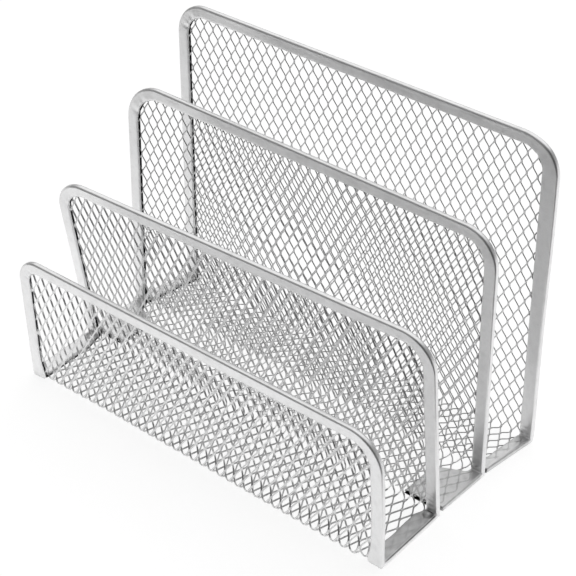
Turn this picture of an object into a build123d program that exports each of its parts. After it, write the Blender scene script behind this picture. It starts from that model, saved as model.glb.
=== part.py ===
from build123d import *
from collections import namedtuple
import math
import os

# Desktop file sorter: three bent mesh sheets, each bound along its edges by a folded
# steel channel, welded foot to foot into a stepped rack with three compartments.
# Frame: millimetres, +Z up, +X along the panels, +Y from the low front panel to the
# tall back panel. Origin on the desk, at the centre of the footprint. Left is -X.
# Panels are numbered 1 to 4 from front to back.

os.makedirs("parts", exist_ok=True)

# Overall sizes
WIDTH = 175.0            # every panel and every base
RIM_T = 2.3              # thickness of the folded rim channel
BAND_SIDE = 5.2          # visible rim down each side of a panel
BAND_TOP = 4.8           # visible rim along a top edge
HALF = WIDTH / 2
HALF_T = RIM_T / 2
OPEN_WIDTH = WIDTH - 2 * BAND_SIDE

# Outer radii of the panels' top corners, left and right
RADII_1 = (10.5, 14.0)
RADII_2 = (15.0, 14.0)
RADII_3 = (17.0, 14.0)
RADII_4 = (14.0, 14.0)

# Front face of each panel at its foot, behind that of panel 1
FOOT_2 = 31.2
FOOT_3 = 58.4
FOOT_4 = 89.6

# Top edges above the desk
TOP_1 = 56.9
TOP_2 = 82.2
TOP_3 = 106.9
TOP_4 = 129.5

# Undersides of the bases above the desk
LIFT_2 = 1.8             # trough base, at panel 2
LIFT_3 = 3.1             # middle base, at panel 3
LIFT_2R = 3.0            # middle base, at its front end
LIFT_3R = 3.6            # rear base, at its front end

# Lean of the top edges at the left and right ends (negative is forward)
LEAN_1 = (-2.7, -3.5)
LEAN_2 = (-12.7, -7.3)
LEAN_3 = (1.6, -0.6)

# Bend radii on the sheet's middle surface
BEND_TROUGH = 1.4
BEND_L = 1.6

# Rim flanges along the bases
FLANGE_1 = 7.0           # trough base
FLANGE_2 = 5.4           # middle base, at its back end
FLANGE_2_WIDE = 16.5     # middle base, flattened front end
WIDE_LENGTH = 21.0       # how far the flattened front end runs back
WIDE_TAPER = 3.0         # length over which it narrows
FLANGE_3 = 5.3           # rear base

# Mesh sheet, and the slot in the rim that receives its edges
MESH_T = 0.8
SLOT_T = 1.2
SLOT_BACK = 0.8          # wall left at the closed edge of the channel
MESH_BACK = 1.2          # from the rim's outer edge to the mesh's edge
SLOT_OVERRUN = 1.0       # slot runs out past the front end of an L's base
MESH_END = 0.2           # mesh stops short of the front end of an L's base

# Base joints and their weld pads
FOOT_GAP = 0.25          # from a panel's back face to the next base
WELD_LEG = 1.5
WELD_LENGTH = 4.0
WELD_INSET = 2.2
WELD_OVERLAP = 0.05      # pad reaches forward into the foot gap
WELD_CLEAR = 0.02        # pad's rear corner above the base
WELD_FRONT_2 = 0.02      # pad's lower front corner above the middle base
WELD_FRONT_3 = 0.12      # the same above the rear base

# Cutters
CUT_REACH = 6.0          # in front of and behind an upright panel
CUT_REACH_LEANING = 11.0
PANEL_2_CUT_SHIFT = 4.0  # panel 2 leans, so its cutters are centred forward of its foot
CORNER_MARGIN = 2.0      # corner cutters stand out past the panel
OPEN_GAP = 1.5           # from a base's top to the panel's opening
SQUARE_HEIGHT = 10.0     # squared lower part of a panel opening
SQUARE_HEIGHT_3 = 12.0
BASE_CUT_Z = -2.0        # start of the base cutters
BASE_CUT_RISE = RIM_T + 5.0    # their height, less the base's lift
BASE_CUT_OVER = 2.0      # how far they run past a panel's back face, or ahead of it
BASE_CUT_START = 1.0     # trough cutter starts this far behind the front face

# Places along Y
OVERHANG = 3.44          # panel 1's top edge in front of its foot
DEPTH = OVERHANG + FOOT_4 + RIM_T
FRONT_Y = OVERHANG - DEPTH / 2
MID_1 = FRONT_Y + HALF_T
MID_2 = MID_1 + FOOT_2
MID_3 = MID_1 + FOOT_3
MID_4 = MID_1 + FOOT_4
BACK_2 = FRONT_Y + FOOT_2 + RIM_T    # back faces of panels 2 to 4 at their feet
BACK_3 = FRONT_Y + FOOT_3 + RIM_T
BACK_4 = FRONT_Y + FOOT_4 + RIM_T

# What the cutters through a panel need: its top, their middle plane, reach and corner radii
Panel = namedtuple("Panel", "top cut_y reach radii")
PANEL_1 = Panel(TOP_1, MID_1, CUT_REACH, RADII_1)
PANEL_2 = Panel(TOP_2, FRONT_Y + FOOT_2 - PANEL_2_CUT_SHIFT, CUT_REACH_LEANING, RADII_2)
PANEL_3 = Panel(TOP_3, MID_3, CUT_REACH, RADII_3)
PANEL_4 = Panel(TOP_4, MID_4, CUT_REACH, RADII_4)


def sag(slope, radius):
    """How far a bend's underside sits above the corner its two middle lines make."""
    return radius * (math.tan(slope) + 1 / math.cos(slope) - 1)


# Middle-line heights of the outermost bends, set so that both rest on the desk
FOOT_1_Z = HALF_T - sag(math.atan2(LIFT_2, FOOT_2), BEND_TROUGH)
FOOT_4_Z = HALF_T - sag(math.atan2(LIFT_3R, FOOT_4 - FOOT_3 - RIM_T), BEND_L)


def unit(a, b):
    """Unit vector from a towards b."""
    length = math.hypot(b[0] - a[0], b[1] - a[1])
    return ((b[0] - a[0]) / length, (b[1] - a[1]) / length)


def ahead(point, direction, distance):
    return (point[0] + direction[0] * distance, point[1] + direction[1] * distance)


def left_of(point, direction, distance):
    return (point[0] - direction[1] * distance, point[1] + direction[0] * distance)


def trimmed(points, start_trim, end_trim):
    """The middle line with its free ends drawn back."""
    first = ahead(points[0], unit(points[0], points[1]), start_trim)
    last = ahead(points[-1], unit(points[-1], points[-2]), end_trim)
    return [first] + points[1:-1] + [last]


def bent_outline(points, radius, thick):
    """Closed outline of a sheet bent along points: pairs are lines, triples are arcs."""
    half = thick / 2
    sides = {1: [], -1: []}    # 1 is the left side of the line, -1 the right
    for side in (1, -1):
        at = left_of(points[0], unit(points[0], points[1]), half * side)
        for before, corner, after in zip(points, points[1:], points[2:]):
            a = unit(before, corner)
            b = unit(corner, after)
            turn = math.atan2(a[0] * b[1] - a[1] * b[0], a[0] * b[0] + a[1] * b[1])
            inner = 1 if turn > 0 else -1
            start = ahead(corner, a, -radius * math.tan(abs(turn) / 2))
            centre = left_of(start, a, radius * inner)
            arc_radius = radius - half if side == inner else radius + half
            angle = math.atan2(start[1] - centre[1], start[0] - centre[0])
            arc = tuple(
                (
                    centre[0] + arc_radius * math.cos(angle + turn * t),
                    centre[1] + arc_radius * math.sin(angle + turn * t),
                )
                for t in (0, 0.5, 1)
            )
            sides[side] += [(at, arc[0]), arc]
            at = arc[2]
        end = left_of(points[-1], unit(points[-2], points[-1]), half * side)
        sides[side].append((at, end))
    left, right = sides[1], sides[-1]
    back_way = [tuple(reversed(segment)) for segment in reversed(right)]
    end_cap = (left[-1][-1], right[-1][-1])
    start_cap = (right[0][0], left[0][0])
    return left + [end_cap] + back_way + [start_cap]


def bent_sheet(lines, bend, thick, inset, start_trim, panels):
    """Bent sheet with rounded top corners, its edges inset from the unit's outer edges.

    lines holds the (y, z) middle lines at the left and right ends, or one for both.
    """
    with BuildPart() as sheet:
        for side, line in zip((-1, 1), lines):
            with BuildSketch(Plane.YZ.offset(side * (HALF - inset))):
                with BuildLine():
                    for segment in bent_outline(trimmed(line, start_trim, inset), bend, thick):
                        if len(segment) == 2:
                            Line(*segment)
                        else:
                            ThreePointArc(*segment)
                make_face()
        if len(lines) == 1:
            extrude(amount=WIDTH - 2 * inset)
        else:
            loft(ruled=True)
        for panel in panels:
            with BuildSketch(Plane.XZ.offset(-panel.cut_y)):
                for side, r in zip((-1, 1), panel.radii):
                    shift = (CORNER_MARGIN - r) / 2
                    with Locations((side * (HALF + shift), panel.top + shift)):
                        Rectangle(r + CORNER_MARGIN, r + CORNER_MARGIN)
                for side, r in zip((-1, 1), panel.radii):
                    with Locations((side * (HALF - r), panel.top - r)):
                        Circle(r - inset, mode=Mode.SUBTRACT)
            extrude(amount=panel.reach, both=True, mode=Mode.SUBTRACT)
    return sheet.part


def unit_sheets(lines, bend, panels, slot_start, mesh_start):
    """A unit's rim blank, the slot to cut from it, and its mesh."""
    layers = (
        # thickness, inset, trim at the start of the line
        (RIM_T, 0, 0),
        (SLOT_T, SLOT_BACK, slot_start),
        (MESH_T, MESH_BACK, mesh_start),
    )
    return [bent_sheet(lines, bend, *layer, panels) for layer in layers]


def opening_sketch(panel, base_lift, square_height, right_radius=None):
    """Opening over a panel: rounded above, square below, its right corner optionally wider."""
    top = panel.top - BAND_TOP
    bottom = base_lift + RIM_T + OPEN_GAP
    with BuildSketch(Plane.XZ.offset(-panel.cut_y)) as opening:
        with Locations((0, (top + bottom) / 2)):
            RectangleRounded(OPEN_WIDTH, top - bottom, panel.radii[0] - BAND_SIDE)
        if right_radius is not None:
            with Locations((OPEN_WIDTH / 4, (top + bottom) / 2)):
                RectangleRounded(OPEN_WIDTH / 2, top - bottom, right_radius - BAND_SIDE)
        with Locations((0, bottom + square_height / 2)):
            Rectangle(OPEN_WIDTH, square_height)
    return opening.sketch


def save(part, name):
    part.label = name
    export_step(part, f"parts/{name}.step")


def make_trough():
    """Unit 1: panel 1, the trough base and panel 2 in one bent sheet."""
    lines = [
        [
            (MID_1 + lean_1, TOP_1),
            (MID_1, FOOT_1_Z),
            (MID_2, LIFT_2 + HALF_T),
            (MID_2 + lean_2, TOP_2),
        ]
        for lean_1, lean_2 in zip(LEAN_1, LEAN_2)
    ]
    blank, slot, mesh = unit_sheets(
        lines, BEND_TROUGH, (PANEL_1, PANEL_2), slot_start=SLOT_BACK, mesh_start=MESH_BACK
    )
    panel_2_opening = opening_sketch(PANEL_2, LIFT_2, SQUARE_HEIGHT)
    open_top = TOP_1 - BAND_TOP
    open_bottom = -4.0
    open_z = (open_top + open_bottom) / 2
    open_height = open_top - open_bottom
    base_start = FRONT_Y + BASE_CUT_START
    base_end = BACK_2 + BASE_CUT_OVER

    with BuildPart() as rim:
        add(blank)
        # opening over panel 1, down to and round the front bend
        with BuildSketch(Plane.XZ.offset(-MID_1)):
            with Locations((0, open_z)):
                RectangleRounded(OPEN_WIDTH, open_height, RADII_1[1] - BAND_SIDE)
            with Locations((-OPEN_WIDTH / 4, open_z)):
                RectangleRounded(OPEN_WIDTH / 2, open_height, RADII_1[0] - BAND_SIDE)
            with Locations((0, 10.0)):
                Rectangle(OPEN_WIDTH, 12.0)
            with Locations((0, 2.0)):
                Rectangle(WIDTH - 2 * FLANGE_1, 8.0)
            # no cut well below the desk, nor over the base flanges at the bend
            with Locations((0, -6.0)):
                Rectangle(WIDTH, 8.0, mode=Mode.SUBTRACT)
            for side in (-1, 1):
                with Locations((side * (HALF - FLANGE_1 / 2), -0.5)):
                    Rectangle(FLANGE_1, 9.0, mode=Mode.SUBTRACT)
        extrude(amount=CUT_REACH, both=True, mode=Mode.SUBTRACT)
        extrude(panel_2_opening, amount=PANEL_2.reach, both=True, mode=Mode.SUBTRACT)
        # opening over the base
        with BuildSketch(Plane.XY.offset(BASE_CUT_Z)):
            with Locations((0, (base_start + base_end) / 2)):
                Rectangle(WIDTH - 2 * FLANGE_1, base_end - base_start)
        extrude(amount=LIFT_2 + BASE_CUT_RISE, mode=Mode.SUBTRACT)
        add(slot, mode=Mode.SUBTRACT)
    save(rim.part, "trough_rim")
    save(mesh, "trough_mesh")


def make_middle():
    """Unit 2: the middle base and panel 3."""
    lines = [
        [
            (BACK_2 + FOOT_GAP, LIFT_2R + HALF_T),
            (MID_3, LIFT_3 + HALF_T),
            (MID_3 + lean, TOP_3),
        ]
        for lean in LEAN_3
    ]
    blank, slot, mesh = unit_sheets(
        lines, BEND_L, (PANEL_3,), slot_start=-SLOT_OVERRUN, mesh_start=MESH_END
    )
    panel_opening = opening_sketch(PANEL_3, LIFT_3, SQUARE_HEIGHT_3, RADII_3[1])
    wide_end = BACK_2 + WIDE_LENGTH
    # right half of the base opening as (x, y), front to back
    right_side = [
        (HALF - FLANGE_2_WIDE, BACK_2 - BASE_CUT_OVER),
        (HALF - FLANGE_2_WIDE, wide_end),
        (HALF - FLANGE_2, wide_end + WIDE_TAPER),
        (HALF - FLANGE_2, BACK_3 + BASE_CUT_OVER),
    ]
    left_side = [(-x, y) for x, y in reversed(right_side)]

    with BuildPart() as rim:
        add(blank)
        extrude(panel_opening, amount=PANEL_3.reach, both=True, mode=Mode.SUBTRACT)
        # opening over the base, narrower where the flange is flattened out
        with BuildSketch(Plane.XY.offset(BASE_CUT_Z)):
            with BuildLine():
                Polyline(*left_side, *right_side, close=True)
            make_face()
        extrude(amount=LIFT_3 + BASE_CUT_RISE, mode=Mode.SUBTRACT)
        add(slot, mode=Mode.SUBTRACT)
    save(rim.part, "middle_rim")
    save(mesh, "middle_mesh")


def make_back():
    """Unit 3: the rear base and panel 4, which stands upright."""
    line = [
        (BACK_3 + FOOT_GAP, LIFT_3R + HALF_T),
        (MID_4, FOOT_4_Z),
        (MID_4, TOP_4),
    ]
    blank, slot, mesh = unit_sheets(
        [line], BEND_L, (PANEL_4,), slot_start=-SLOT_OVERRUN, mesh_start=MESH_END
    )
    panel_opening = opening_sketch(PANEL_4, 0, SQUARE_HEIGHT)
    base_start = BACK_3 - 1.0    # clear of the base's front end
    base_end = BACK_4 + BASE_CUT_OVER

    with BuildPart() as rim:
        add(blank)
        extrude(panel_opening, amount=PANEL_4.reach, both=True, mode=Mode.SUBTRACT)
        # opening over the base
        with BuildSketch(Plane.XY.offset(BASE_CUT_Z)):
            with Locations((0, (base_start + base_end) / 2)):
                Rectangle(WIDTH - 2 * FLANGE_3, base_end - base_start)
        extrude(amount=LIFT_3 + BASE_CUT_RISE, mode=Mode.SUBTRACT)
        add(slot, mode=Mode.SUBTRACT)
    save(rim.part, "back_rim")
    save(mesh, "back_mesh")


def make_welds(name, panel_back, base_lift, front_clear):
    """Two pads in the corner between a base's front end and the panel in front of it."""
    base_front = panel_back + FOOT_GAP
    base_top = base_lift + RIM_T
    with BuildPart() as welds:
        for side in (-1, 1):
            middle_x = side * (HALF - WELD_INSET - WELD_LENGTH / 2)
            with BuildSketch(Plane.YZ.offset(middle_x - WELD_LENGTH / 2)):
                with BuildLine():
                    Polyline(
                        (base_front - WELD_OVERLAP, base_top + front_clear),
                        (base_front + WELD_LEG, base_top + WELD_CLEAR),
                        (base_front - WELD_OVERLAP, base_top + WELD_LEG),
                        close=True,
                    )
                make_face()
            extrude(amount=WELD_LENGTH)
    save(welds.part, name)


make_trough()
make_middle()
make_back()
make_welds("divider_welds", BACK_2, LIFT_2R, WELD_FRONT_2)
make_welds("back_welds", BACK_3, LIFT_3R, WELD_FRONT_3)
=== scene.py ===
"""A rack of silver-painted expanded metal with folded steel rims.

Three bent sheets stand one behind the other: a trough (front panel, base and divider) and two
L-shaped pieces (base and panel), called middle and back. X runs across the rack, -Y is the front
and Z is up from the floor. Sizes are millimetres in the CAD frame unless noted.
"""
import math
from functools import partial

import bpy
import numpy as np
from mathutils import Matrix, Vector


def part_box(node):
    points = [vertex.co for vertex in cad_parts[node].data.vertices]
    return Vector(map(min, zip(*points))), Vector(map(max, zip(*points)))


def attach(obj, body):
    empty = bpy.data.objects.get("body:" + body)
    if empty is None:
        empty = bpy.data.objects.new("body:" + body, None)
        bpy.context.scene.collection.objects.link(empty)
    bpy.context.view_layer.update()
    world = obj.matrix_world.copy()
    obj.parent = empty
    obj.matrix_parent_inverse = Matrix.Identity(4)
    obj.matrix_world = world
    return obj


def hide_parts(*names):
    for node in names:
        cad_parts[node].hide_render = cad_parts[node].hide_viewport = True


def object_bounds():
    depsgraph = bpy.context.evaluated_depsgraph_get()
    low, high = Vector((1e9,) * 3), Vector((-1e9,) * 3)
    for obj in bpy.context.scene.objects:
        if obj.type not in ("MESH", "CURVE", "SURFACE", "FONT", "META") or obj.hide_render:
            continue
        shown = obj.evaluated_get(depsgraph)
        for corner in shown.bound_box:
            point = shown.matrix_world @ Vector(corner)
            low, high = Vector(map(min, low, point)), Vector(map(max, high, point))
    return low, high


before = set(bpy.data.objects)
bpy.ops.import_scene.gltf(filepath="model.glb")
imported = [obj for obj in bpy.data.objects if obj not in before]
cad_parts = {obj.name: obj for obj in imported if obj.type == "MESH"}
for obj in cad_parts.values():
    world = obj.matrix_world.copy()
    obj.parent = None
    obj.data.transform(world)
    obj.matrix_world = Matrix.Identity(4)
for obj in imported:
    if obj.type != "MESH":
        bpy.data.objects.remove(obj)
cad_low, cad_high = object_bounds()

# ---------------------------------------------------------------------------
# Sizes
# ---------------------------------------------------------------------------
WIDTH = round((cad_high[0] - cad_low[0]) * 1000, 3)
HALF = WIDTH / 2
RIM_T = 2.3                     # thickness over the folded rim
HALF_T = RIM_T / 2

# top corner radii: left, right
FRONT_RADII, DIVIDER_RADII = (10.5, 14.0), (15.0, 14.0)
MIDDLE_RADII, BACK_RADII = (17.0, 14.0), (14.0, 14.0)
# each panel's foot behind the front panel's, and its top
DIVIDER_FOOT, MIDDLE_FOOT, BACK_FOOT = 31.2, 58.4, 89.6
FRONT_TOP, DIVIDER_TOP, MIDDLE_TOP, BACK_TOP = 56.9, 82.2, 106.9, 129.5
# height of the bases' undersides: at two feet, and at the L pieces' front ends
DIVIDER_LIFT, MIDDLE_LIFT = 1.8, 3.1
MIDDLE_END_LIFT, BACK_END_LIFT = 3.0, 3.6
# how far each panel's top leans along Y: left side, right side
FRONT_LEAN, DIVIDER_LEAN = (-2.7, -3.5), (-12.7, -7.3)
MIDDLE_LEAN, BACK_LEAN = (1.6, -0.6), (0.0, 0.0)
TROUGH_BEND_R, L_BEND_R = 1.4, 1.6      # bend radii of the middle surface
OVERHANG = 3.44                 # of the front panel's top, forward of its foot
FRONT_Y = OVERHANG - (OVERHANG + BACK_FOOT + RIM_T) / 2
FOOT_GAP = 0.25                 # between an L piece's front end and the panel before it

# widths of the rim's flanges
BAND_SIDE, BAND_TOP = 5.2, 4.8
TROUGH_FLANGE, BACK_FLANGE = 7.0, 5.3
MIDDLE_FLANGE, MIDDLE_FLANGE_WIDE, WIDE_LENGTH = 5.4, 16.5, 21.0

# folded strip
WALL = 0.45
FOLD_R = 0.8
LIP_THIN = 0.16                 # the flanges' free lips are thinned by this much

# expanded metal
STRAND_T = 0.42                 # sheet thickness
BOND = 0.50                     # half length of a knuckle
TILT = math.radians(35)         # how far the strands lean over
MESH_INSET = 1.2                # the strands stop this far inside the rim's outer edge


def bend_rise(slope, radius):
    """How far a bend's lowest point stands above its sharp corner."""
    return radius * (math.tan(slope) + 1 / math.cos(slope) - 1)


# the corners that rest their bends on the floor
FRONT_FOOT_Z = HALF_T - bend_rise(math.atan2(DIVIDER_LIFT, DIVIDER_FOOT), TROUGH_BEND_R)
BACK_FOOT_Z = HALF_T - bend_rise(
    math.atan2(BACK_END_LIFT, BACK_FOOT - MIDDLE_FOOT - RIM_T), L_BEND_R)


# Corners (y, z) of each sheet's middle surface; side is 0 for left, 1 for right.
def trough_points(side):
    return [
        (FRONT_Y + HALF_T + FRONT_LEAN[side], FRONT_TOP),
        (FRONT_Y + HALF_T, FRONT_FOOT_Z),
        (FRONT_Y + DIVIDER_FOOT + HALF_T, DIVIDER_LIFT + HALF_T),
        (FRONT_Y + DIVIDER_FOOT + HALF_T + DIVIDER_LEAN[side], DIVIDER_TOP),
    ]


def middle_points(side):
    return [
        (FRONT_Y + DIVIDER_FOOT + RIM_T + FOOT_GAP, MIDDLE_END_LIFT + HALF_T),
        (FRONT_Y + MIDDLE_FOOT + HALF_T, MIDDLE_LIFT + HALF_T),
        (FRONT_Y + MIDDLE_FOOT + HALF_T + MIDDLE_LEAN[side], MIDDLE_TOP),
    ]


def back_points(side):
    return [
        (FRONT_Y + MIDDLE_FOOT + RIM_T + FOOT_GAP, BACK_END_LIFT + HALF_T),
        (FRONT_Y + BACK_FOOT + HALF_T, BACK_FOOT_Z),
        (FRONT_Y + BACK_FOOT + HALF_T + BACK_LEAN[side], BACK_TOP),
    ]


class Profile:
    """A polyline with rounded bends, as segments of (kind, where, shape, length)."""

    def __init__(self, points, radius):
        self.segs = []
        points = [np.array(p, float) for p in points]
        here = points[0]
        for before, corner, after in zip(points, points[1:], points[2:]):
            come = corner - before
            come /= np.linalg.norm(come)
            leave = after - corner
            leave /= np.linalg.norm(leave)
            turn = math.atan2(come[0] * leave[1] - come[1] * leave[0], float(come @ leave))
            left = 1 if turn > 0 else -1
            start = corner - come * (radius * math.tan(abs(turn) / 2))
            self.segs.append(("line", here, start, np.linalg.norm(start - here)))
            centre = start + np.array((-come[1], come[0])) * radius * left
            angle = math.atan2(start[1] - centre[1], start[0] - centre[0])
            self.segs.append(("arc", centre, (radius, angle, turn), radius * abs(turn)))
            here = centre + radius * np.array((math.cos(angle + turn), math.sin(angle + turn)))
        end = points[-1]
        self.segs.append(("line", here, end, np.linalg.norm(end - here)))

    def at(self, i, share):
        """Points and unit directions at shares 0..1 of segment i."""
        kind, where, shape, length = self.segs[i]
        share = np.asarray(share)[:, None]
        if kind == "line":
            ahead = (shape - where) / max(length, 1e-9)
            return where + (shape - where) * share, np.broadcast_to(ahead, (len(share), 2))
        radius, first, turn = shape
        angle = first + turn * share[:, 0]
        point = where + radius * np.stack((np.cos(angle), np.sin(angle)), 1)
        left = 1 if turn > 0 else -1
        return point, left * np.stack((-np.sin(angle), np.cos(angle)), 1)


class Sheet:
    """The middle surface of a bent sheet, ruled between its left and right profiles.

    x runs across, run follows the profile, and off stands off the surface, positive up from
    the base and towards the inside of the bends. high and low are the corner radii (left,
    right) at the far and near ends of run; without low the near end is cut square.
    """

    def __init__(self, points, radius, high, low=None):
        self.high, self.low = high, low
        self.left = Profile(points(0), radius)
        self.right = Profile(points(1), radius)
        self.radius = radius
        self.lengths = [(a[3] + b[3]) / 2 for a, b in zip(self.left.segs, self.right.segs)]
        self.start = np.concatenate(([0], np.cumsum(self.lengths)))
        self.total = float(self.start[-1])

    def place(self, x, run, off):
        """The CAD-frame points of sheet coordinates."""
        x, run, off = (np.asarray(v, float).ravel() for v in np.broadcast_arrays(x, run, off))
        out = np.zeros((len(x), 3))
        last = len(self.lengths) - 1
        index = np.clip(np.searchsorted(self.start, run, side="right") - 1, 0, last)
        for i, length in enumerate(self.lengths):
            here = index == i
            if not here.any():
                continue
            share = (run[here] - self.start[i]) / length
            left, left_dir = self.left.at(i, share)
            right, right_dir = self.right.at(i, share)
            blend = ((x + HALF) / WIDTH)[here][:, None]
            point = left * (1 - blend) + right * blend
            ahead = left_dir * (1 - blend) + right_dir * blend
            ahead /= np.linalg.norm(ahead, axis=1)[:, None]
            across = np.concatenate((np.ones((len(point), 1)), (right - left) / WIDTH), 1)
            ahead = np.concatenate((np.zeros((len(point), 1)), ahead), 1)
            normal = np.cross(across, ahead)
            normal /= np.linalg.norm(normal, axis=1)[:, None]
            flat = np.concatenate((x[here][:, None], point), 1)
            out[here] = flat + normal * off[here][:, None]
        return out

    def mitre(self, run):
        """How far a sharp corner would stand outside each bend's arc, in radii."""
        out = np.zeros(np.shape(run))
        for i, seg in enumerate(self.left.segs):
            if seg[0] == "arc":
                turn = abs(seg[2][2])
                share = (run - self.start[i]) / self.lengths[i]
                away = turn / 2 - np.abs(share - 0.5) * turn
                reach = 1 / np.cos(np.clip(away, 0, 1.2)) - 1
                out = out + np.where((share > 0) & (share < 1), reach, 0)
        return out


trough = Sheet(trough_points, TROUGH_BEND_R, DIVIDER_RADII, FRONT_RADII)
middle = Sheet(middle_points, L_BEND_R, MIDDLE_RADII)
back = Sheet(back_points, L_BEND_R, BACK_RADII)
# where the bends begin and end along run
FRONT_BEND, DIVIDER_BEND = trough.start[1:3], trough.start[3:5]
MIDDLE_BEND, BACK_BEND = middle.start[1:3], back.start[1:3]


# ---------------------------------------------------------------------------
# Helpers
# ---------------------------------------------------------------------------
def make_object(name, verts, faces, smooth, dark=None):
    """An object from millimetre vertices, arrays of faces and a darkness for each vertex."""
    mesh = bpy.data.meshes.new(name)
    faces = [np.asarray(f, np.int32) for f in faces]
    counts = np.concatenate([np.full(len(f), f.shape[1], np.int32) for f in faces])
    loops = np.concatenate([f.ravel() for f in faces])
    mesh.vertices.add(len(verts))
    metres = (np.asarray(verts, np.float64) * 0.001).astype(np.float32)
    mesh.vertices.foreach_set("co", metres.ravel())
    mesh.loops.add(len(loops))
    mesh.loops.foreach_set("vertex_index", loops)
    starts = np.concatenate(([0], np.cumsum(counts)[:-1])).astype(np.int32)
    mesh.polygons.add(len(counts))
    mesh.polygons.foreach_set("loop_start", starts)
    mesh.polygons.foreach_set("use_smooth", np.full(len(counts), smooth, bool))
    mesh.update(calc_edges=True)
    shade = mesh.attributes.new("dark", "FLOAT", "POINT")
    dark = np.zeros(len(verts)) if dark is None else np.clip(dark, 0, 1)
    shade.data.foreach_set("value", dark.astype(np.float32))
    mesh.validate()
    obj = bpy.data.objects.new(name, mesh)
    bpy.context.scene.collection.objects.link(obj)
    return obj


def ease(low, high, value):
    """A smooth step from 0 at low to 1 at high; low may be the larger."""
    t = np.clip((np.asarray(value, float) - low) / (high - low), 0, 1)
    return t * t * (3 - 2 * t)


def bell(value, centre, width):
    return np.exp(-(((value - centre) / width) ** 2))


def waves(x, run, seed, count, span):
    """A seeded pattern of waves, roughly -1 to 1; span is the range of wavelengths."""
    rng = np.random.RandomState(seed)
    out = np.zeros(np.broadcast(x, run).shape)
    for _ in range(count):
        rate = 2 * math.pi / rng.uniform(*span)
        angle = rng.uniform(0, 2 * math.pi)
        out = out + np.sin(rate * (x * math.cos(angle) + run * math.sin(angle))
                           + rng.uniform(0, 6.28))
    return out / math.sqrt(count) / 1.2


# ---------------------------------------------------------------------------
# Expanded metal: ribbons that follow run, zigzag between knuckles and lean over
# ---------------------------------------------------------------------------
class Weave:
    """One sheet's diamond pattern.

    pitch is half a diamond across, length a whole one along run, width the strand's and shift
    an offset along run. drift pairs places along run with sideways moves. Over the stretch
    turn the strands' tilt changes hand. uneven widens one set of strands over the other, and
    twist tilts one set further before the turn.
    """

    def __init__(self, pitch, length, width, shift, drift, turn=None, uneven=0.0, twist=0.0):
        self.pitch, self.length, self.width, self.shift = pitch, length, width, shift
        self.knots, self.turn, self.uneven, self.twist = drift, turn, uneven, twist
        self.swing = (pitch - width * math.cos(TILT)) / 2

    def hand(self, run):
        return 0.80 - 1.72 * ease(*self.turn, run) if self.turn else np.ones(np.shape(run))

    def tilt(self, run, lean):
        hand = self.hand(run)
        return TILT * (hand + self.twist * lean * (hand > 0))

    def zigzag(self, run):
        """1 and -1 at the knuckles of even ribbons, nearly straight strands between."""
        phase = np.mod(run - self.shift, self.length)
        phase = np.where(phase > self.length / 2, self.length - phase, phase)
        t = np.clip((phase - BOND) / (self.length / 2 - 2 * BOND), 0, 1)
        soft = t * t * (3 - 2 * t)
        return 1 - 2 * (0.72 * t + 0.28 * soft)

    def drift(self, run):
        return np.interp(run, *self.knots)

    def ridge(self, x, run, width):
        """1 on a strand, falling to 0 away from it."""
        zig = self.swing * self.zigzag(run)
        x = x - self.drift(run)
        even = np.mod(x - zig + self.pitch, 2 * self.pitch) - self.pitch
        odd = np.mod(x + zig, 2 * self.pitch) - self.pitch
        return bell(np.minimum(np.abs(even), np.abs(odd)), 0, width)


TROUGH_WEAVE = Weave(
    pitch=2.25, length=8.35, width=0.60, shift=1.3,
    drift=((0.0, FRONT_BEND[0], DIVIDER_BEND[1], trough.total), (7.0, 0.0, 0.0, 3.2)),
    turn=(FRONT_BEND[0] - 1, FRONT_BEND[1] + 1), uneven=0.02, twist=0.33)
MIDDLE_WEAVE = Weave(pitch=2.23, length=8.1, width=0.51, shift=3.1,
                     drift=((0.0, middle.total), (0.0, 0.0)), uneven=0.05)
BACK_WEAVE = Weave(pitch=2.275, length=8.0, width=0.51, shift=5.2,
                   drift=((0.0, BACK_BEND[1], back.total), (0.0, 0.0, -3.0)), uneven=0.03)


def nose(x, run):
    """Y shift: the front panel's foot swells forward towards its right end."""
    near = ease(FRONT_BEND[0] - 22.0, FRONT_BEND[0] - 3.0, run)
    near = near * (1 - ease(FRONT_BEND[1] + 2.0, FRONT_BEND[1] + 15.0, run))
    return -0.7 * near * ease(-20.0, HALF - 10.0, x)


def belly(x, run):
    """Y shift: the mesh bulges forward of the rim just above the front bend."""
    inside = ease(HALF - 4.0, HALF - 12.0, np.abs(x))
    return -1.9 * ease(-75.0, 50.0, x) * bell(run, FRONT_BEND[0] - 1.5, 3.4) * inside


def strand_rings(sheet, weave, x, run, zig, seed):
    """The four corners of a ribbon's section at each station."""
    lean = np.clip(np.gradient(zig, run) * 1.4, -1, 1)      # which way the strand runs
    tilt = weave.tilt(run, lean)
    cos, sin = np.cos(tilt), np.sin(tilt)
    width = weave.width - weave.uneven * weave.hand(run) * lean
    off = -weave.width * sin / 2 * zig
    if sheet is trough:
        # the mesh presses outwards round the front bend
        off = off - (0.62 * bell(run, (FRONT_BEND[0] + FRONT_BEND[1]) / 2, 2.6)
                     * ease(HALF - 5.0, HALF - 12.0, np.abs(x)))
    # slight uneven stretching, in each direction
    shift_x = 0.14 * waves(x, run, seed, count=5, span=(30, 90))
    shift_run = 0.22 * waves(x, run, seed + 1, count=5, span=(30, 90))
    shift_off = 0.05 * waves(x, run, seed + 2, count=4, span=(25, 70))
    corners = []
    for a, b in ((0.5, 0.5), (-0.5, 0.5), (-0.5, -0.5), (0.5, -0.5)):
        corner = sheet.place(x + shift_x + a * width * cos - b * STRAND_T * sin,
                             np.clip(run + shift_run, 0.1, sheet.total - 0.4),
                             off + shift_off + a * width * sin + b * STRAND_T * cos)
        if sheet is trough:
            corner[:, 1] += nose(x, run) + belly(x, run)
        corners.append(corner)
    return np.stack(corners, 1)


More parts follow.
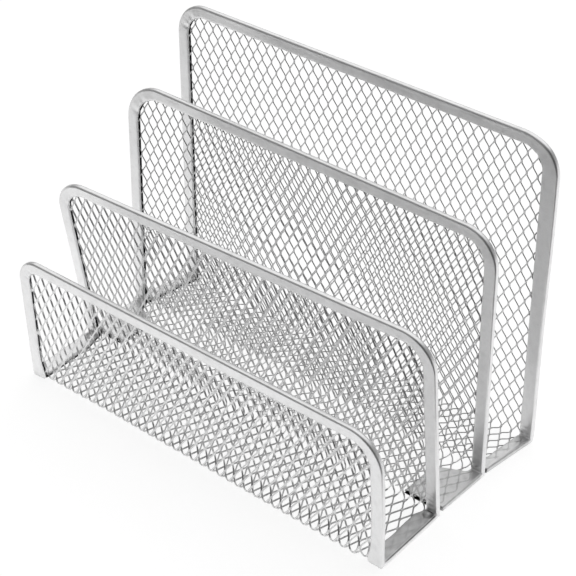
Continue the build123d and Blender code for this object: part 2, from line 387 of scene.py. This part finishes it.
def corner_inset(radii, x):
    """How far from the sheet's end the strands stop at x, following the rounded corner."""
    radius = radii[0 if x < 0 else 1]
    past = abs(x) - (HALF - radius)
    if past <= 0:
        return MESH_INSET
    inner = radius - MESH_INSET
    return radius - math.sqrt(inner * inner - past * past) if past < inner else 1e9


def on_mesh(sheet, x, run):
    first = corner_inset(sheet.low, x) if sheet.low else 0.15
    last = sheet.total - corner_inset(sheet.high, x)
    return abs(x) < HALF - MESH_INSET and first < run < last


def expanded_metal(name, sheet, weave, seed):
    verts, quads, base = [], [], 0
    half = weave.length / 2
    phases = [-BOND, BOND, BOND + 0.75, half / 2, half - BOND - 0.75]
    phases += [half + p for p in phases]
    last = int(math.ceil(sheet.total / weave.length)) + 2
    grid = np.sort(np.array([weave.shift + j * weave.length + p
                             for j in range(-2, last) for p in phases]))
    grid = grid[(grid > 0.1) & (grid < sheet.total - 0.1)]
    count = int(HALF // weave.pitch) + 5
    for k in range(-count, count + 1):
        zig = (1 if k % 2 == 0 else -1) * weave.zigzag(grid)
        x = k * weave.pitch + weave.drift(grid) + weave.swing * zig
        inside = np.array([on_mesh(sheet, a, b) for a, b in zip(x, grid)]).astype(int)
        # a drifting ribbon can leave the sheet's edge and come back, so it's laid in stretches
        edges = np.flatnonzero(np.diff(np.concatenate(([0], inside, [0]))))
        for first, stop in zip(edges[::2], edges[1::2]):
            if stop - first < 4:
                continue
            part = slice(first, stop)
            rings = strand_rings(sheet, weave, x[part], grid[part], zig[part], seed)
            verts.append(rings.reshape(-1, 3))
            i = np.arange(len(rings) - 1)[:, None] * 4 + base
            j = np.arange(4)[None, :]
            here, beside = i + j, i + (j + 1) % 4
            quads.append(np.stack((here, beside, beside + 4, here + 4), 2).reshape(-1, 4))
            end = base + (len(rings) - 1) * 4
            quads.append(np.array([[base + 3, base + 2, base + 1, base],
                                   [end, end + 1, end + 2, end + 3]]))
            base += len(rings) * 4
    return make_object(name, np.concatenate(verts), [np.concatenate(quads)], smooth=False)


# ---------------------------------------------------------------------------
# Folded rim: a steel strip bent over the sheet's edge
# ---------------------------------------------------------------------------
def edge_path(sheet, fine):
    """Stations along the sheet's outer edge: x, run, and the inward direction in both."""
    rows = []
    bends = [(sheet.start[i] - 0.2, sheet.start[i + 1] + 0.2)
             for i, seg in enumerate(sheet.left.segs) if seg[0] == "arc"]

    def line(begin, end, inward):
        length = math.dist(begin, end)
        along = 0.0
        while along < length - 0.15:
            t = along / length
            run = begin[1] + (end[1] - begin[1]) * t
            rows.append((begin[0] + (end[0] - begin[0]) * t, run, *inward))
            step = 1.3
            if begin[1] != end[1]:
                if any(a <= run <= b for a, b in bends):
                    step = 0.26
                elif fine[0] <= run <= fine[1]:
                    step = 0.42
            along += step

    def arc(x, run, radius, first):
        """A clockwise quarter turn round (x, run)."""
        steps = 40
        for i in range(steps):
            angle = first - math.pi / 2 * i / steps
            cos, sin = math.cos(angle), math.sin(angle)
            rows.append((x + radius * cos, run + radius * sin, -cos, -sin))

    total = sheet.total
    left, right = sheet.high
    low_left, low_right = sheet.low or (0.0, 0.0)
    line((-HALF, low_left), (-HALF, total - left), (1, 0))
    arc(-HALF + left, total - left, left, math.pi)
    line((-HALF + left, total), (HALF - right, total), (0, -1))
    arc(HALF - right, total - right, right, math.pi / 2)
    line((HALF, total - right), (HALF, low_right), (-1, 0))
    if sheet.low:
        arc(HALF - low_right, low_right, low_right, 0)
        line((HALF - low_right, 0), (-HALF + low_left, 0), (0, 1))
        arc(-HALF + low_left, low_left, low_left, -math.pi / 2)
    else:
        rows.append((HALF, 0.0, -1, 0))
    return np.array(rows)


def strip_section(samples, lip):
    """The strip's cross-section as rows of (inset, share of the flange, off), and how many
    rows lie on its outer skin. lip is how far the free lips are pressed in."""
    spread = [0.94, 0.965, 0.985, 1.0]
    top = np.concatenate((spread[::-1], np.linspace(0.9, 0, samples)))
    under = np.concatenate((np.linspace(0, 0.9, max(8, samples // 2)), spread))
    inside = np.concatenate((np.linspace(0, 0.88, max(5, samples // 4)), [0.94, 0.97, 1.0]))
    centre = HALF_T - FOLD_R
    lip_off = HALF_T - lip - (WALL - LIP_THIN) * 0.5

    def outer(share):
        return HALF_T - lip * share ** 14

    def inner(share):
        return HALF_T - WALL - lip * share ** 14 + LIP_THIN * share ** 4

    def fold(first, side):
        return [(FOLD_R + FOLD_R * math.cos(math.radians(a)), 0,
                 side * centre + FOLD_R * math.sin(math.radians(a)))
                for a in range(first, first + 61, 15)]

    rows = [(FOLD_R, share, outer(share)) for share in top]
    rows += fold(105, 1) + [(0, 0, centre), (0, 0, 0), (0, 0, -centre)] + fold(195, -1)
    rows += [(FOLD_R, share, -outer(share)) for share in under]
    skin = len(rows)
    rows += [(FOLD_R + 0.06, 1, -lip_off)]
    rows += [(FOLD_R, share, -inner(share)) for share in inside[::-1]]
    rows += [(WALL, 0, -centre + 0.1), (WALL, 0, centre - 0.1)]
    rows += [(FOLD_R, share, inner(share)) for share in inside]
    rows += [(FOLD_R + 0.06, 1, lip_off)]
    return np.array(rows), skin


def end_caps(skin, size, base, reverse):
    """Triangles, then quads, between the outer and inner skins of a cut end."""
    within = list(range(size - 1, skin - 1, -1))
    steps = skin - 1
    caps = []
    for i in range(steps):
        here = within[int(round(i * (len(within) - 1) / steps))]
        ahead = within[int(round((i + 1) * (len(within) - 1) / steps))]
        face = [base + i, base + i + 1, base + ahead, base + here]
        if here == ahead:
            face = face[:3]
        caps.append(face[::-1] if reverse else face)
    groups = [[face for face in caps if len(face) == corners] for corners in (3, 4)]
    return [np.array(group) for group in groups if group]


def folded_rim(name, sheet, band, relief, shade_and_dirt, samples, fine, sharp, lip,
               sideways=None, cut=0.0):
    """band, relief, the fifth argument and sideways are functions giving the flange width, the
    bumps off the surface, the darkness (painted shade, with a little dirt) and a shift along X.
    fine is the stretch of run with close stations, sharp how far the bends' outer skin fills
    its corners, and cut how far the square ends are cut back at the strip's outer edge."""
    path_x, path_run, in_x, in_run = edge_path(sheet, fine).T[:, :, None]
    section, skin = strip_section(samples, lip)
    rings, size = len(path_x), len(section)
    inset, share, off = section.T
    inset = inset + share * (band(path_x, path_run) - FOLD_R)
    share = np.broadcast_to(share, inset.shape)
    off = np.broadcast_to(off, inset.shape)
    inner = np.broadcast_to((np.arange(size) >= skin).astype(float), inset.shape)
    x = path_x + in_x * inset
    run = path_run + in_run * inset
    # painted shade, with a little dirt, as a darkness for each vertex
    dark = shade_and_dirt(x, run, inset, off, share, inner)
    outside = np.clip((HALF_T - off) / (2 * HALF_T), 0, 1)
    off = (off + relief(x, run, inset, off, share)
           - sharp * (sheet.radius + HALF_T) * sheet.mitre(run) * outside)
    if sideways:
        x = x + sideways(x, run, inset)
    if cut:
        near = np.clip(1 - run / 3.0, 0, 1)
        ragged = 0.35 * near * waves(x, 0, seed=17, count=4, span=(2.0, 5.0))
        run = np.maximum(run + cut * near * (1 - ease(1.0, 2.6, inset)) + ragged, 0.02)
    verts = sheet.place(x, run, off)
    if sheet is trough:
        verts[:, 1] += nose(x.ravel(), run.ravel())
    i = np.arange(rings if sheet.low else rings - 1)[:, None]
    j = np.arange(size)[None, :]
    here, ahead = i * size, (i + 1) % rings * size
    beside = (j + 1) % size
    quads = np.stack((here + j, here + beside, ahead + beside, ahead + j), 2)
    faces = [quads.reshape(-1, 4)]
    if not sheet.low:
        faces += end_caps(skin, size, 0, reverse=True)
        faces += end_caps(skin, size, (rings - 1) * size, reverse=False)
    return make_object(name, verts, faces, smooth=True, dark=dark.ravel())


# Flange widths. ragged and span are the size and wavelengths of the lip's waver on the base.
def band_width(x, run, on_base, flange, to_top, ragged, span, seed):
    width = BAND_SIDE + (flange - BAND_SIDE) * on_base
    width = width + (BAND_TOP - BAND_SIDE) * ease(14.0, 2.0, to_top)
    return (width + ragged * waves(x, run, seed, count=4, span=span) * on_base
            + 0.05 * waves(x, run, seed + 1, count=4, span=(8, 20)))


def trough_band(x, run):
    on_base = ease(FRONT_BEND[0] - 8.0, FRONT_BEND[0] + 3.0, run)
    on_base = on_base * (1 - ease(DIVIDER_BEND[0] - 7.0, DIVIDER_BEND[0] + 1.0, run))
    return band_width(x, run, on_base, TROUGH_FLANGE, np.minimum(run, trough.total - run),
                      ragged=0.14, span=(5, 14), seed=11)


def middle_band(x, run):
    """The base flange is wide at the front and narrows before the bend."""
    on_base = 1 - ease(MIDDLE_BEND[0] - 1.0, MIDDLE_BEND[0] + 2.0, run)
    edge = WIDE_LENGTH - 1.0
    wide = 1 - ease(edge - 3.5, edge + 3.6, run)
    flange = MIDDLE_FLANGE + (MIDDLE_FLANGE_WIDE - MIDDLE_FLANGE) * wide
    return band_width(x, run, on_base, flange, middle.total - run,
                      ragged=0.10, span=(6, 16), seed=21)


def back_band(x, run):
    on_base = 1 - ease(BACK_BEND[0] - 1.0, BACK_BEND[0] + 2.0, run)
    return band_width(x, run, on_base, BACK_FLANGE, back.total - run,
                      ragged=0.22, span=(4, 12), seed=31)


# ---------------------------------------------------------------------------
# Relief, and painted shade with a little dirt, on the rims. inset is the distance in from the
# edge, share the place across the flange (1 at its lip), and inner is 1 on the strip's inner
# skin.
# Each term is a height in mm (or a darkness) times where it lies.
# ---------------------------------------------------------------------------
def pleats(sheet, x, run, off, share):
    """Small radial folds where the strip is bent round a panel's top corners."""
    out = np.zeros(x.shape)
    # run at the end, its corner radii, direction into the sheet, phase in degrees
    ends = [(sheet.total, sheet.high, -1, 38.0)]
    if sheet.low:
        ends.insert(0, (0.0, sheet.low, 1, 19.0))
    for side in (-1, 1):
        for end, radii, inward, turn in ends:
            radius = radii[0 if side < 0 else 1]
            beyond_x = (x - side * (HALF - radius)) * side
            beyond_run = (end + radius * inward - run) * inward
            angle = np.degrees(np.arctan2(beyond_run, beyond_x))
            inside = (beyond_x > -1.0) & (beyond_run > -1.0)
            phase = 37.0 * (side + 2) + turn
            ripple = (np.sin(np.radians(angle * 11 + phase))
                      + 0.5 * np.sin(np.radians(angle * 23 + phase * 2)))
            ripple = ripple * ease(3, 20, angle) * ease(87, 70, angle)
            out += np.where(inside, ripple, 0) * (1.5 if side < 0 else 0.8)
    return np.sign(off) * 0.11 * share ** 1.5 * out


def pinch_line(sheet, inset, phase):
    """The wandering line of an L piece's pinched inside corner, along run."""
    return sheet.start[2] + 0.4 + 0.55 * np.sin(inset * 0.9 + phase) - 0.12 * inset


def buckle(sheet, run, inset, off, phase):
    """A pinched ridge at a bend's inside corner, with two smaller folds above it."""
    line = pinch_line(sheet, inset, phase)
    body = ease(1.4, 2.6, inset)
    second = line + 3.1 + 0.3 * np.sin(inset * 1.7 + phase)
    third = line + 5.0 - 0.25 * np.sin(inset * 1.3 + phase)
    out = 0.42 * bell(run, line + 0.9, 0.42) * ease(0.9, 1.8, inset)
    out += 0.20 * bell(run, second, 0.40) * body
    out += 0.16 * bell(run, third, 0.40) * body
    return np.where(off > 0, out, 0)


# spot weld dimples on the trough's base: in from the side, and forward of the divider's bend
DIMPLE_IN, DIMPLE_AHEAD = 3.0, 1.7
# ripples across the foot of the divider's rim: distance above the bend, height
RIPPLES = ((1.9, 0.20), (4.1, 0.26), (6.4, 0.24), (9.0, 0.16), (12.0, 0.08))


def ripple_line(above, inset, i):
    return above + DIVIDER_BEND[1] + 0.35 * np.cos(inset * 1.1 + i)


def trough_relief(x, run, inset, off, share):
    sign = np.sign(off)
    front, divider = FRONT_BEND[0], DIVIDER_BEND[1]
    on_base = ease(front + 2.0, front + 4.5, run)
    on_base = on_base * (1 - ease(divider - 5.5, divider - 3.0, run))
    body = ease(0.10, 0.25, share)
    out = pleats(trough, x, run, off, share)
    # the mesh prints through the base flange
    out += sign * on_base * body * 0.05 * (TROUGH_WEAVE.ridge(x, run, width=0.45) - 0.4)
    for i, (above, height) in enumerate(RIPPLES):
        ripple = height * bell(run, ripple_line(above, inset, i), 0.45)
        out += np.where(off > 0, ripple * ease(0.7, 1.6, inset), 0)
    for side in (-1, 1):
        away = np.hypot(x - side * (HALF - DIMPLE_IN), run - (DIVIDER_BEND[0] - DIMPLE_AHEAD))
        dimple = 0.60 * (1 - ease(0.5, 2.2, away)) - 0.14 * bell(away, 2.5, 0.5)
        out -= np.where(off > 0, 1, 0) * dimple
    out += sign * body * 0.035 * waves(x, run, seed=41, count=6, span=(7, 22))
    return out


def trough_shade_and_dirt(x, run, inset, off, share, inner):
    front, divider = FRONT_BEND[0], DIVIDER_BEND[0]
    # painted shade on the strip's inner skin, which shows in its hollow; a little lighter on the
    # front panel
    out = np.where((run < front) & (run > 8), 0.62, 0.9) * inner
    on_base = ease(front + 1.0, front + 4.0, run) * (1 - ease(divider - 1.0, divider, run))
    up = (off > 0) * (1 - inner) * np.where(x < 0, 0.0, 1.0)       # painted shade only on the right side; the left side takes none
    body = ease(0.10, 0.25, share)
    strands = TROUGH_WEAVE.ridge(x, run + 0.3, width=0.34)
    patches = waves(x, run, seed=43, count=6, span=(2, 6))
    # painted shade over the base flange's right side, deeper beside the printed strands, with
    # random patches
    out += up * on_base * (0.13 + 0.10 * body * strands + 0.05 * patches)
    # painted shade: two dark lines along the base's right edge
    lines = 0.70 * bell(off, 0.90, 0.17) + 0.45 * bell(off, -0.80, 0.25)
    out += (1 - inner) * on_base * (x > 0) * (inset < 1.2) * lines
    # painted shade in the creases between the ripples
    for i, above in enumerate((3.0, 5.2, 7.6)):
        out += up * 0.22 * bell(run, ripple_line(above, inset, i), 0.30) * ease(0.9, 1.8, inset)
    # painted shade round one side of the dimples
    for side in (-1, 1):
        out_x = (x - side * (HALF - DIMPLE_IN)) * side
        out_run = run - (divider - DIMPLE_AHEAD)
        ring = bell(np.hypot(out_x, out_run), 1.8, 0.7)
        out += up * (0.50 * ring * ease(-0.6, 1.0, out_run + out_x * 0.6))
    # painted shade in the divider's bend
    out += (up * 0.60 * bell(run, divider + 0.6, 0.8)
            * ease(0.6, 1.6, inset) * (1 - ease(4.6, 5.6, inset)))
    out += 0.05 * (1 - inner) * waves(x, run, seed=44, count=8, span=(2.0, 7.0))
    return out


def trough_nip(x, run, inset):
    """The rim's outer edge draws in slightly at the front bend."""
    centre = (FRONT_BEND[0] + FRONT_BEND[1]) / 2
    return (np.sign(x) * -0.1 * bell(run, centre, 6.0) * (1 - ease(0.0, 6.0, inset))
            * (1 - ease(centre - 2.0, centre + 3.0, run)))


MIDDLE_PHASE, BACK_PHASE = 0.8, 2.1     # of the L pieces' buckles


def middle_relief(x, run, inset, off, share):
    sign = np.sign(off)
    on_base = 1 - ease(MIDDLE_BEND[0] - 3, MIDDLE_BEND[0] - 0.5, run)
    body = ease(1.3, 2.2, inset)
    out = pleats(middle, x, run, off, share)
    # the mesh prints through the base flange, which is uneven between
    out += sign * on_base * body * 0.09 * (MIDDLE_WEAVE.ridge(x, run, width=0.40) - 0.4)
    out += sign * on_base * body * 0.04 * waves(x, run, seed=51, count=6, span=(3, 8))
    out += buckle(middle, run, inset, off, MIDDLE_PHASE)
    out += (sign * ease(0.15, 0.4, share) * 0.035
            * waves(x, run, seed=52, count=6, span=(7, 22)))
    return out


def back_relief(x, run, inset, off, share):
    sign = np.sign(off)
    on_base = 1 - ease(BACK_BEND[0] - 3, BACK_BEND[0] - 0.5, run)
    body = ease(0.10, 0.3, share)
    out = pleats(back, x, run, off, share)
    out += sign * on_base * body * 0.11 * (BACK_WEAVE.ridge(x, run, width=0.45) - 0.4)
    out += buckle(back, run, inset, off, BACK_PHASE)
    out += sign * body * 0.035 * waves(x, run, seed=61, count=6, span=(7, 22))
    return out


def l_shade_and_dirt(sheet, weave, phase, print_shade, foot_shade, seed, x, run, inset, off, share, inner):
    """Painted shade, with random patches, on an L piece: the fourth argument sets the painted
    shade beside the mesh's print, the fifth that at the foot of the panel.
    """
    bend = sheet.start[1]
    mouth = 1 - ease(2.0, 4.5, run)
    # painted shade on the strip's inner skin, which shows in its hollow, black at the open front
    # end
    out = inner * (0.92 + 0.08 * mouth)
    up = (off > 0) * (1 - inner)
    on_base = 1 - ease(bend - 1.0, bend, run)
    body = ease(1.3, 2.2, inset)
    # painted shade along the base's right edge
    out += (1 - inner) * on_base * (x > 0) * 0.22 * (inset < 0.5)
    patches = waves(x, run, seed, count=8, span=(1.6, 5.0))
    # painted shade beside the mesh's printed ridges, with random patches
    out += up * on_base * body * (print_shade * weave.ridge(x, run + 0.30, width=0.25)
                                  + 0.06 * patches)
    # painted shade in the crease behind the buckle's ridge
    line = pinch_line(sheet, inset, phase)
    out += up * (0.55 * bell(run, line + 1.65, 0.32) * ease(1.0, 2.2, inset)
                 * (0.55 + 0.45 * np.sin(inset * 2.3 + phase * 2)))
    # painted shade at the foot of the panel, in the inside corner
    out += up * foot_shade * bell(run, bend + 6.0, 4.0) * ease(1.0, 2.0, inset)
    out += 0.05 * (1 - inner) * waves(x, run, seed + 1, count=8, span=(2.0, 7.0))
    return out


middle_shade_and_dirt = partial(l_shade_and_dirt, middle, MIDDLE_WEAVE, MIDDLE_PHASE, 0.48, 0.16, 53)
back_shade_and_dirt = partial(l_shade_and_dirt, back, BACK_WEAVE, BACK_PHASE, 0.40, 0.0, 63)


def back_bow(x, run, inset):
    """The back rim stands out on its right side, most of all near the top corner."""
    above = run - BACK_BEND[1]
    amount = 0.5 + 1.05 * ease(30, 108, above)
    near = ease(HALF - 13.0, HALF - 3.0, np.abs(x)) * ease(-6.0, 4.0, above)
    return np.where(x > 0, 1, 0) * amount * near * (1 - ease(0.0, 6.5, inset))


def weld_beads(name, node, seed):
    """A lumpy bead at the left and right ends of a CAD weld piece."""
    rng = np.random.RandomState(seed)
    low, high = (np.array(corner) * 1000 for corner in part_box(node))
    verts, faces = [], []
    length, radius, inset, stretch = 4.0, 0.5, 0.52, 1.05
    rows, cols = 15, 14
    for side in (-1, 1):
        base = len(verts)
        centre = side * (high[0] - length / 2)
        coarse, fine, around, _ = rng.uniform(0, 6.28, 4)
        for i in range(rows):
            t = i / (rows - 1)
            swell = math.sqrt(max(1 - (2 * t - 1) ** 2, 0.0)) ** 0.7
            lump = 1 + 0.12 * math.sin(9 * t + coarse) + 0.07 * math.sin(23 * t + fine)
            for j in range(cols):
                a = 2 * math.pi * j / cols
                reach = radius * swell * lump * (1 + 0.06 * math.sin(3 * a + around))
                verts.append((centre + (t - 0.5) * length,
                              low[1] + inset + reach * math.cos(a) * stretch,
                              low[2] + inset + reach * math.sin(a) * stretch))
        for i in range(rows - 1):
            for j in range(cols):
                here = base + i * cols + j
                beside = base + i * cols + (j + 1) % cols
                faces.append((here, beside, beside + cols, here + cols))
    return make_object(name, np.array(verts), [np.array(faces)], smooth=True)


# ---------------------------------------------------------------------------
# Materials
# ---------------------------------------------------------------------------
def clear_tree(owner):
    owner.use_nodes = True
    owner.node_tree.nodes.clear()
    return owner.node_tree


def add_node(tree, kind, *slots, settings=None, **inputs):
    """Add a node. Inputs go by position or name ("_" for a space); a socket is linked."""
    node = tree.nodes.new(kind)
    for key, value in (settings or {}).items():
        setattr(node, key, value)
    named = [(key.replace("_", " "), value) for key, value in inputs.items()]
    for key, value in list(enumerate(slots)) + named:
        if isinstance(value, bpy.types.NodeSocket):
            tree.links.new(value, node.inputs[key])
        else:
            node.inputs[key].default_value = value
    return node


def graded(tree, source, over, into):
    """Ease from into[0] to into[1] as the source goes over its range."""
    return add_node(tree, "ShaderNodeMapRange", settings={"interpolation_type": "SMOOTHSTEP"},
                    Value=source, From_Min=over[0], From_Max=over[1],
                    To_Min=into[0], To_Max=into[1]).outputs["Result"]


def times(tree, first, second):
    return add_node(tree, "ShaderNodeMath", first, second,
                    settings={"operation": "MULTIPLY"}).outputs[0]


def silver(name, base, rough, grain, bump):
    """Metallic paint: grain is the flake's noise scale, bump its strength."""
    mat = bpy.data.materials.new(name)
    tree = clear_tree(mat)
    place = add_node(tree, "ShaderNodeTexCoord").outputs["Object"]
    flake = add_node(tree, "ShaderNodeTexNoise", Vector=place, Scale=grain,
                     Detail=3, Roughness=0.65).outputs["Fac"]
    tone = add_node(tree, "ShaderNodeMix", settings={"data_type": "RGBA"}, Factor=flake,
                    A=(base * 0.90, base * 0.90, base * 0.905, 1),
                    B=(base * 1.06, base * 1.06, base * 1.06, 1))
    # painted shade in hollows, creases and folds, and a little dirt, from the vertices' darkness
    dark = add_node(tree, "ShaderNodeAttribute", settings={"attribute_name": "dark"})
    painted_shade_and_dirt = add_node(tree, "ShaderNodeMix", settings={"data_type": "RGBA"},
                      Factor=dark.outputs["Fac"], A=tone.outputs["Result"],
                      B=(0.012, 0.012, 0.012, 1))
    # slow drift of gloss
    cloud = add_node(tree, "ShaderNodeTexNoise", Vector=place, Scale=60, Detail=4)
    gloss = add_node(tree, "ShaderNodeMapRange", Value=cloud.outputs["Fac"],
                     From_Min=0.3, From_Max=0.7, To_Min=rough - 0.05, To_Max=rough + 0.06)
    relief = add_node(tree, "ShaderNodeBump", Strength=bump, Distance=0.00006, Height=flake)
    paint = add_node(tree, "ShaderNodeBsdfPrincipled", Base_Color=painted_shade_and_dirt.outputs["Result"],
                     Metallic=0.9, Roughness=gloss.outputs["Result"],
                     Normal=relief.outputs["Normal"])
    add_node(tree, "ShaderNodeOutputMaterial", paint.outputs[0])
    return mat


# by the ending of the CAD node's name: material and slot
FINISHES = {
    "rim": (silver("silver_rim_paint", base=0.74, rough=0.36, grain=1500, bump=0.5),
            "silver_rim"),
    "mesh": (silver("silver_mesh_paint", base=0.66, rough=0.36, grain=2600, bump=0.4),
             "silver_mesh"),
    "welds": (silver("silver_weld_paint", base=0.52, rough=0.50, grain=1800, bump=0.8),
              "weld"),
}

# ---------------------------------------------------------------------------
# Build the pieces, by the CAD node each one replaces
# ---------------------------------------------------------------------------
pieces = {
    "trough_mesh": expanded_metal("trough_mesh_strands", trough, TROUGH_WEAVE, seed=71),
    "middle_mesh": expanded_metal("middle_mesh_strands", middle, MIDDLE_WEAVE, seed=81),
    "back_mesh": expanded_metal("back_mesh_strands", back, BACK_WEAVE, seed=91),
    "trough_rim": folded_rim(
        "trough_rim_strip", trough, trough_band, trough_relief, trough_shade_and_dirt, samples=20,
        fine=(FRONT_BEND[0] - 6, DIVIDER_BEND[1] + 14), sharp=0.75, lip=0.58,
        sideways=trough_nip),
    "middle_rim": folded_rim(
        "middle_rim_strip", middle, middle_band, middle_relief, middle_shade_and_dirt, samples=44,
        fine=(0, MIDDLE_BEND[1] + 9), sharp=0.4, lip=0.50, cut=1.3),
    "back_rim": folded_rim(
        "back_rim_strip", back, back_band, back_relief, back_shade_and_dirt, samples=18,
        fine=(0, BACK_BEND[1] + 9), sharp=0.5, lip=0.48, sideways=back_bow, cut=0.8),
    "divider_welds": weld_beads("divider_weld_beads", "divider_welds", seed=5),
    "back_welds": weld_beads("back_weld_beads", "back_welds", seed=6),
}

for node_name, obj in pieces.items():
    material, slot = FINISHES[node_name.split("_")[1]]
    obj.data.materials.append(material)
    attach(obj, "root")
    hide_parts(node_name)

# ---------------------------------------------------------------------------
# Stage: pale floor, soft light, camera. Places are in metres.
# ---------------------------------------------------------------------------
OVERHEAD, WALLS = 1.3, 0.34     # world brightness
FLOOR_GLOW = 0.64


def floor_material():
    mat = bpy.data.materials.new("floor_paper")
    tree = clear_tree(mat)
    # For every ray but the camera's the floor glows and carries painted shade and light, which
    # the rack reflects and is lit by: a dark patch on the camera's side, a dimmer left, a
    # brighter strip under the trough and a dark well in front.
    position = add_node(tree, "ShaderNodeNewGeometry").outputs["Position"]
    split = add_node(tree, "ShaderNodeSeparateXYZ", position)
    x, y = split.outputs["X"], split.outputs["Y"]
    # dark on the camera's side
    flag = times(tree, graded(tree, x, over=(0.112, 0.150), into=(0.0, 1.0)),
                 graded(tree, y, over=(-0.035, 0.010), into=(1.0, 0.0)))
    # a little dimmer to the left
    fall = graded(tree, x, over=(-0.220, -0.070), into=(0.88, 1.0))
    # a brighter strip under the trough
    strip = times(tree, graded(tree, y, over=(-0.064, -0.050), into=(1.0, 1.03)),
                  graded(tree, y, over=(-0.014, 0.006), into=(1.0, 0.92)))
    # dark well in front
    front = graded(tree, y, over=(-0.240, -0.165), into=(0.10, 1.0))
    fall = times(tree, times(tree, fall, strip), front)
    strength = graded(tree, flag, over=(0.0, 1.0), into=(FLOOR_GLOW, FLOOR_GLOW * 0.08))
    tone = graded(tree, flag, over=(0.0, 1.0), into=(0.9, 0.07))

    def glowing(color, glow):
        body = add_node(tree, "ShaderNodeBsdfDiffuse", Color=color)
        light = add_node(tree, "ShaderNodeEmission", Color=(1, 1, 1, 1), Strength=glow)
        return add_node(tree, "ShaderNodeAddShader", body.outputs[0], light.outputs[0])

    table = glowing(times(tree, tone, fall), times(tree, strength, fall))
    # the camera sees white paper with only a breath of shadow
    seen = glowing((0.30, 0.30, 0.30, 1), 0.82)
    path = add_node(tree, "ShaderNodeLightPath")
    pick = add_node(tree, "ShaderNodeMixShader", path.outputs["Is Camera Ray"],
                    table.outputs[0], seen.outputs[0])
    add_node(tree, "ShaderNodeOutputMaterial", pick.outputs[0])
    return mat


def build_floor():
    bpy.ops.mesh.primitive_plane_add(size=8.0, location=(0, 0, 0))
    floor = bpy.context.object
    floor.name = "floor"
    floor.data.materials.append(floor_material())


def build_world():
    """A wide soft box overhead and behind, dimmer walls, and a dark patch at the camera."""
    scene = bpy.context.scene
    scene.world = scene.world or bpy.data.worlds.new("studio")
    tree = clear_tree(scene.world)
    view = add_node(tree, "ShaderNodeTexCoord").outputs["Generated"]

    def towards(x, y, z):
        return add_node(tree, "ShaderNodeVectorMath", view, Vector((x, y, z)).normalized(),
                        settings={"operation": "DOT_PRODUCT"}).outputs["Value"]

    sky = graded(tree, towards(-0.20, 0.45, 0.87), over=(0.64, 0.80), into=(WALLS, OVERHEAD))
    patch = graded(tree, towards(0.66, -0.70, 0.27), over=(0.70, 0.92), into=(1.0, 0.12))
    light = add_node(tree, "ShaderNodeBackground", Color=(1, 1, 1, 1),
                     Strength=times(tree, sky, patch))
    add_node(tree, "ShaderNodeOutputWorld", light.outputs[0])


CAMERA_PLACE = Vector((377.74, -436.39, 447.82)) * 0.001
# turned left of +Y, tipped down, and rolled
TURN, DIP, ROLL = math.radians(40.336), math.radians(34.168), math.radians(0.112)


def build_camera():
    data = bpy.data.cameras.new("camera")
    camera = bpy.data.objects.new("camera", data)
    bpy.context.scene.collection.objects.link(camera)
    ahead = Vector((-math.sin(TURN) * math.cos(DIP), math.cos(TURN) * math.cos(DIP),
                    -math.sin(DIP)))
    level = Vector((math.cos(TURN), math.sin(TURN), 0.0))
    below = ahead.cross(level)
    right = level * math.cos(ROLL) + below * math.sin(ROLL)
    down = -level * math.sin(ROLL) + below * math.cos(ROLL)
    facing = Matrix((right, -down, -ahead)).transposed()
    camera.matrix_world = Matrix.Translation(CAMERA_PLACE) @ facing.to_4x4()
    data.sensor_width = 36.0
    data.lens = 118.45
    data.clip_start = 0.01
    data.clip_end = 20.0
    bpy.context.scene.camera = camera


build_floor()
build_world()
build_camera()
bpy.context.scene.view_settings.view_transform = "Standard"
bpy.context.scene.view_settings.look = "None"
